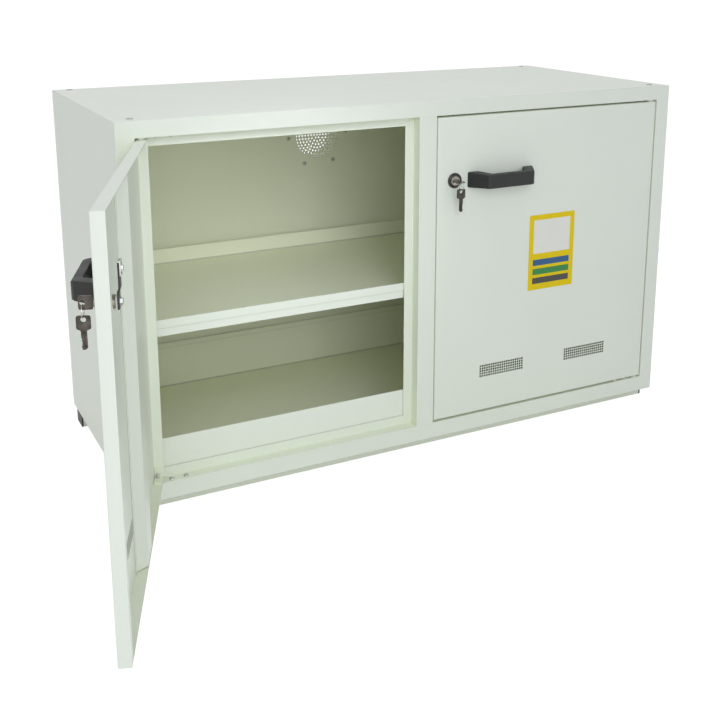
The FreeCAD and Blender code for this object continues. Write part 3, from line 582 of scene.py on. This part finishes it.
# Handles.
# A bridge handle moulded in black plastic with a fine grain, its edges well rounded. Two
# screws from the inside of the door hold it by its feet.
HANDLE_MIDDLE = -0.154
HANDLE_FOOT = 0.060
HANDLE_SCREW_HEAD = (0.005, 0.0032)
handle_black = coated("handle_plastic", (0.018, 0.020, 0.017), (0.026, 0.029, 0.024), (0.42, 0.56),
                      grain=1800, depth=0.00008, strength=0.5, specular=0.35)
for side in ("left", "right"):
    dress(handle_black, side + "_handle", edge=0.0022, rounds=4)
    feet = [(HANDLE_MIDDLE + way * HANDLE_FOOT, FRONT + SHEET, LOCK.z) for way in (-1, 1)]
    name = side + "_inside_screws"
    stands_for = [side + "_handle_screws"]
    pan_heads(name, feet, (0, 1, 0), *HANDLE_SCREW_HEAD, side + "_door", stands_for, SIDES[side])

# Locks.
# A threaded nickel barrel goes through the door with a glossy black rosette in front and a
# hexagon nut behind. The cylinder's square tail carries a locating plate and a black joggled
# bar, which ends in a zinc hook plate. Each profile is a list of radius and height above the door.
nickel = plated("nickel", (0.36, 0.35, 0.30), (0.50, 0.48, 0.42), (0.16, 0.28), 500)
gloss_black = coated("black_ring", (0.008, 0.008, 0.008), (0.013, 0.013, 0.013), (0.10, 0.16), grain=400,
                     depth=0.00002, strength=0.1)
black_steel = coated("black_steel", (0.016, 0.017, 0.016), (0.026, 0.027, 0.025), (0.3, 0.42), 700)
OUT = standing(LOCK, (0, -1, 0))
ROSETTE_RADIUS = 0.014
BARREL_BORE = 0.00605
BARREL_TOP = 0.0040
BARREL_END = -0.0195
THREAD_TOP = 0.0089
THREAD_ROOT = 0.0084
THREAD_START = -0.0068
THREAD_PITCH = 0.001
THREADS = 12
FACE_RADIUS = 0.0056
FACE_HEIGHT = 0.0046
FACE_RIM = 0.0074
CORE_RADIUS = 0.0060
KEYWAY_HALF_LENGTH = 0.00365
KEYWAY_HALF_WIDTH = 0.00115
KEYWAY_DEPTH = 0.004
TAIL_HALF = 0.004
TAIL_LENGTH = 0.0043
for side in ("left", "right"):
    bm = bmesh.new()
    rosette = [(LOCK_HOLE, 0), (ROSETTE_RADIUS, 0), (ROSETTE_RADIUS, 0.0016), (0.0137, 0.0025)]
    rosette += [(0.0130, 0.0033), (0.0120, 0.0039), (0.0110, 0.00415), (0.0100, 0.0042)]
    rosette += [(0.0093, 0.0040), (LOCK_HOLE, 0.0035)]
    lathe(bm, rosette, OUT, 64)
    put(bm, side)
    finish(bm, side + "_rosette", gloss_black, side + "_door", [side + "_lock_ring"])
    bm = bmesh.new()
    barrel = [(BARREL_BORE, 0.0034), (0.0068, 0.0038), (0.0084, BARREL_TOP)]
    barrel += [(0.0088, 0.0036), (0.0088, -0.0065)]
    for turn in range(THREADS):
        height = THREAD_START - THREAD_PITCH * turn
        barrel += [(THREAD_TOP, height), (THREAD_ROOT, height - THREAD_PITCH / 2)]
    barrel += [(THREAD_ROOT, BARREL_END), (BARREL_BORE, BARREL_END)]
    lathe(bm, barrel, OUT, 48)
    put(bm, side)
    finish(bm, side + "_barrel", nickel, side + "_door", [side + "_lock_body"])
    bm = bmesh.new()
    core = [(FACE_RADIUS, FACE_HEIGHT), (0.0062, 0.0052), (0.0071, 0.0052), (FACE_RIM, 0.0049)]
    core += [(FACE_RIM, 0.0041), (CORE_RADIUS, 0.0041), (CORE_RADIUS, BARREL_END), (0, BARREL_END)]
    core += [(0, BARREL_END + 0.001), (FACE_RADIUS, BARREL_END + 0.001)]
    lathe(bm, core, OUT, 48)
    across, upward = KEYWAY_HALF_WIDTH, KEYWAY_HALF_LENGTH
    if side == "right":
        across, upward = upward, across
    keyway = rectangle(LOCK.x - across, LOCK.x + across, LOCK.z - upward, LOCK.z + upward)
    face = circle(LOCK.x, LOCK.z, FACE_RADIUS, 48)
    add_sheet(bm, face, [keyway], FRONT - FACE_HEIGHT, FRONT + KEYWAY_DEPTH)
    tail = (LOCK.x - TAIL_HALF, LOCK.x + TAIL_HALF, FRONT - BARREL_END, FRONT - BARREL_END + TAIL_LENGTH)
    add_box(bm, *tail, LOCK.z - TAIL_HALF, LOCK.z + TAIL_HALF)
    put(bm, side)
    finish(bm, side + "_plug_cylinder", nickel, side + "_lock", [side + "_lock_cylinder"])
    for part in ("_lock_nut", "_cam_plate", "_cam_hook", "_cam_screws"):
        dress(zinc, side + part, edge=0.0003)
    dress(black_steel, side + "_cam_bar", edge=0.0003)

# Keys.
# Nickel-plated brass keys, stamped flat: one in each lock, its twin hanging from it on a small
# split ring wound from spring wire. The outline is in millimetres from the middle of the bow hole.
KEY_TOP = [(-6, 4.8), (6, 4.8), (8.0, 4.0), (8.5, 2.3), (8.5, -9.7), (7.9, -11.6), (6, -12.2), (3.5, -13.7)]
KEY_TIP = [(3.5, -34.7), (1.0, -36.7), (-2.5, -36.7), (-3.5, -32.7)]
KEY_TEETH = [(-2.3, -31.2), (-2.9, -29.7), (-2.1, -27.7), (-3.2, -25.7), (-2.5, -23.9), (-3.5, -21.7)]
KEY_SHOULDER = [(-3.5, -13.7), (-6, -12.2), (-7.9, -11.6), (-8.5, -9.7), (-8.5, 2.3), (-8.0, 4.0)]
KEY_OUTLINE = [*KEY_TOP, *KEY_TIP, *KEY_TEETH, *KEY_SHOULDER]
KEY_HALF_THICKNESS = 0.001
KEY_HOLE = 0.0032
GROOVE_X = (0.0004, 0.0014)
GROOVE_Z = (-0.0345, -0.0140)
GROOVE_FLOOR = 0.0004
BOW_HOLE = LOCK + Vector((0, -0.0191, 0))
RING = 0.0079
PLAY = 0.0023
RING_STEPS = 96
WIRE = 0.00045
WIRE_SIDES = 10
LEAN = Vector((0, 0.0040, 0.0060))
# The keys' metal gets a very dark base colour: a painted reflection of dark surroundings on the nickel
# plating.
key_metal_painted_dark = plated("key_metal_painted_dark", (0.035, 0.031, 0.026), (0.115, 0.105, 0.088), (0.2, 0.32), grain=420,
                    stretch=(1, 1, 5), depth=0.00005, strength=0.5)


def key(matrix, side, name, body, stands_for):
    """A stamped key with a round hole in its bow and a groove along both sides of its blade."""
    bm = bmesh.new()
    outline = [(x / 1000, z / 1000) for x, z in reversed(KEY_OUTLINE)]
    holes = [circle(0, 0, KEY_HOLE, 32), rectangle(*GROOVE_X, *GROOVE_Z)]
    add_sheet(bm, outline, holes, -KEY_HALF_THICKNESS, KEY_HALF_THICKNESS)
    add_box(bm, *GROOVE_X, -GROOVE_FLOOR, GROOVE_FLOOR, *GROOVE_Z)
    bm.transform(matrix)
    put(bm, side)
    return finish(bm, name, key_metal_painted_dark, body, stands_for, bevel=0.0002)


def split_ring(centre, axis, side, name, body, stands_for):
    """Two turns of wire side by side, joined by a short crossing."""
    bm = bmesh.new()
    stand = standing(centre, axis)
    rings = []
    for step in range(RING_STEPS + 1):
        angle = 4 * math.pi * step / RING_STEPS
        lift = (step / RING_STEPS - 0.5) * 2 * WIRE
        middle = Vector((RING * math.cos(angle), RING * math.sin(angle), lift))
        outward = Vector((math.cos(angle), math.sin(angle), 0))
        loop = []
        for k in range(WIRE_SIDES):
            turn = 2 * math.pi * k / WIRE_SIDES
            skin = outward * (WIRE * math.cos(turn)) + Vector((0, 0, WIRE * math.sin(turn)))
            loop.append(bm.verts.new(stand @ (middle + skin)))
        rings.append(loop)
    for low, high in zip(rings, rings[1:]):
        for k in range(WIRE_SIDES):
            after = (k + 1) % WIRE_SIDES
            bm.faces.new([low[k], low[after], high[after], high[k]])
    bm.faces.new(rings[0])
    bm.faces.new(rings[-1])
    put(bm, side)
    return finish(bm, name, nickel, body, stands_for)


inward = Matrix.Rotation(math.radians(90), 4, "X")
edge_on = Matrix.Rotation(math.radians(90), 4, "Z")
upright = Matrix.Translation(BOW_HOLE) @ Matrix.Rotation(math.radians(90), 4, "Y") @ inward
ring_place = BOW_HOLE - Vector((0, 0, PLAY + RING))
hanging = Matrix.Translation(ring_place - Vector((0, 0, RING + PLAY))) @ edge_on
key(upright, "left", "left_lock_key", "left_key", ["left_key"])
split_ring(ring_place, (0, 1, 0), "left", "left_split_ring", "left_key", ["left_key_ring"])
key(hanging, "left", "left_twin_key", "left_spare_key", ["left_spare_key"])
ring_place = BOW_HOLE - LEAN
hanging = Matrix.Translation(ring_place - Vector((0, 0, RING + PLAY)))
key(Matrix.Translation(BOW_HOLE) @ inward, "right", "right_lock_key", "right_key", ["right_key"])
split_ring(ring_place, (1, 0, 0), "right", "right_split_ring", "right_key", ["right_key_ring"])
key(hanging, "right", "right_twin_key", "right_spare_key", ["right_spare_key"])

# Sign plate.
# A thin plastic plate of A6 size glued to the right door. It is plain yellow and printed with
# one blank field and three bars, each listed by its left, right, lower and upper edge.
PLATE_LEFT = 0.2244
PLATE_BOTTOM = 0.285
PLATE_WIDTH = 0.105
PLATE_HEIGHT = 0.148
PLATE_THICKNESS = 0.0005
INK_FRONT = 0.00055
INK_BACK = 0.0003
INK_SPREAD = 1.06
yellow = coated("plate_yellow", (0.80, 0.60, 0.002), (0.84, 0.63, 0.004), (0.4, 0.5), grain=500,
                depth=0.00002, strength=0.1, specular=0.25)
PRINTS = [
    ("plate_field", (0.80, 0.80, 0.62), (0.010, 0.095, 0.072, 0.138)),
    ("plate_bar_blue", (0.012, 0.09, 0.20), (0.010, 0.095, 0.048, 0.060)),
    ("plate_bar_green", (0.02, 0.22, 0.04), (0.010, 0.095, 0.030, 0.042)),
    ("plate_bar_grey", (0.045, 0.045, 0.036), (0.010, 0.095, 0.012, 0.024)),
]
bm = bmesh.new()
plate_sides = (PLATE_LEFT, PLATE_LEFT + PLATE_WIDTH)
add_box(bm, *plate_sides, FRONT - PLATE_THICKNESS, FRONT, PLATE_BOTTOM, PLATE_BOTTOM + PLATE_HEIGHT)
finish(bm, "sign_plate", yellow, "right_door", bevel=0.0001)
for name, colour, (x0, x1, z0, z1) in PRINTS:
    bm = bmesh.new()
    print_sides = (PLATE_LEFT + x0, PLATE_LEFT + x1)
    add_box(bm, *print_sides, FRONT - INK_FRONT, FRONT - INK_BACK, PLATE_BOTTOM + z0, PLATE_BOTTOM + z1)
    lighter = tuple(min(1, part * INK_SPREAD) for part in colour)
    ink = coated(name, colour, lighter, (0.3, 0.4), 500, 0.00002, 0.1)
    finish(bm, name, ink, "right_door")

# Floor, light and camera.
# A white studio floor runs out of sight under a white surround. Large soft lamps stand in front,
# at the left and above; a small one with a narrow beam reaches into the open compartment.
world = bpy.data.worlds.new("studio")
bpy.context.scene.world = world
world.use_nodes = True
world_nodes = world.node_tree.nodes
world_links = world.node_tree.links
world_nodes.clear()
LAMP_TINT = (0.975, 1.0, 1.235)
SURROUND = 0.45


def background(colour, strength):
    """One colour of surround for the world."""
    shader = world_nodes.new("ShaderNodeBackground")
    shader.inputs["Color"].default_value = (*colour, 1)
    shader.inputs["Strength"].default_value = strength
    return shader.outputs["Background"]


def pick(nodes, links, test, otherwise, chosen):
    """One of two shaders, the second where the test is true."""
    mix = nodes.new("ShaderNodeMixShader")
    links.new(test, mix.inputs["Fac"])
    links.new(otherwise, mix.inputs[1])
    links.new(chosen, mix.inputs[2])
    return mix.outputs["Shader"]


def seen(nodes, links):
    """True for what the camera sees, by itself, in a reflection or through something clear."""
    ray = nodes.new("ShaderNodeLightPath")
    test = ray.outputs["Is Camera Ray"]
    for way in ("Is Glossy Ray", "Is Transmission Ray"):
        either = nodes.new("ShaderNodeMath")
        either.operation = "MAXIMUM"
        links.new(test, either.inputs[0])
        links.new(ray.outputs[way], either.inputs[1])
        test = either.outputs["Value"]
    return test


whole = pick(world_nodes, world_links, seen(world_nodes, world_links), background(LAMP_TINT, SURROUND),
             background((1, 1, 1), 1.0))
out = world_nodes.new("ShaderNodeOutputWorld")
world_links.new(whole, out.inputs["Surface"])

FLOOR_REACH = 40.0
FLOOR_LEVEL = -0.0004
floor_outline = rectangle(-FLOOR_REACH, FLOOR_REACH, -FLOOR_REACH, FLOOR_REACH)
floor_mesh = bpy.data.meshes.new("floor")
floor_mesh.from_pydata([(x, y, FLOOR_LEVEL) for x, y in floor_outline], [], [(0, 1, 2, 3)])
floor = bpy.data.objects.new("floor", floor_mesh)
bpy.context.collection.objects.link(floor)
floor_material = bpy.data.materials.new("floor_white")
floor_material.use_nodes = True
floor_nodes = floor_material.node_tree.nodes
floor_links = floor_material.node_tree.links
floor_nodes.clear()
bounce = floor_nodes.new("ShaderNodeBsdfDiffuse")
bounce.inputs["Color"].default_value = (0.8, 0.8, 0.8, 1)
faint = floor_nodes.new("ShaderNodeBsdfDiffuse")
faint.inputs["Color"].default_value = (0.64, 0.62, 0.53, 1)
glow = floor_nodes.new("ShaderNodeEmission")
glow.inputs["Color"].default_value = (1, 1, 1, 1)
glow.inputs["Strength"].default_value = 0.80
both = floor_nodes.new("ShaderNodeAddShader")
floor_links.new(faint.outputs["BSDF"], both.inputs[0])
floor_links.new(glow.outputs["Emission"], both.inputs[1])
floor_shade = pick(floor_nodes, floor_links, seen(floor_nodes, floor_links), bounce.outputs["BSDF"],
                   both.outputs["Shader"])
floor_out = floor_nodes.new("ShaderNodeOutputMaterial")
floor_links.new(floor_shade, floor_out.inputs["Surface"])
floor_mesh.materials.append(floor_material)


def softbox(name, place, target, size, power, spread=180):
    """A square lamp at a place, turned to its target; it doesn't show in the picture itself."""
    data = bpy.data.lights.new(name, "AREA")
    data.shape = "SQUARE"
    data.size = size
    data.energy = power
    data.color = LAMP_TINT
    data.spread = math.radians(spread)
    lamp = bpy.data.objects.new(name, data)
    bpy.context.collection.objects.link(lamp)
    lamp.visible_camera = False
    lamp.location = place
    aim = Vector(target) - Vector(place)
    lamp.rotation_mode = "QUATERNION"
    lamp.rotation_quaternion = aim.to_track_quat("-Z", "Y")


softbox("key_light", (-0.95, -2.65, 1.38), (-0.25, 0.1, 0.4), 1.9, 30)
softbox("side_light", (-3.0, -0.8, 1.5), (-0.5, 0.2, 0.4), 1.5, 5)
softbox("top_light", (-0.2, 0.4, 2.8), (-0.1, 0.2, 0.6), 2.0, 9)
softbox("doorway_light", (-0.33, -0.70, 0.98), (-0.27, 0.13, 0.30), 0.3, 0.14, 40)

camera_data = bpy.data.cameras.new("camera")
camera = bpy.data.objects.new("camera", camera_data)
bpy.context.collection.objects.link(camera)
bpy.context.scene.camera = camera
yaw = math.radians(27.3)
pitch = math.radians(13.4)
forward = Vector((math.sin(yaw) * math.cos(pitch), math.cos(yaw) * math.cos(pitch), -math.sin(pitch)))
camera.location = (-0.931, -1.636, 0.895)
camera.rotation_mode = "QUATERNION"
camera.rotation_quaternion = forward.to_track_quat("-Z", "Y")
camera_data.lens = 52.8
camera_data.sensor_width = 36
camera_data.shift_x = -0.016
camera_data.shift_y = -0.2
camera_data.clip_end = 200
bpy.context.scene.view_settings.view_transform = "Standard"
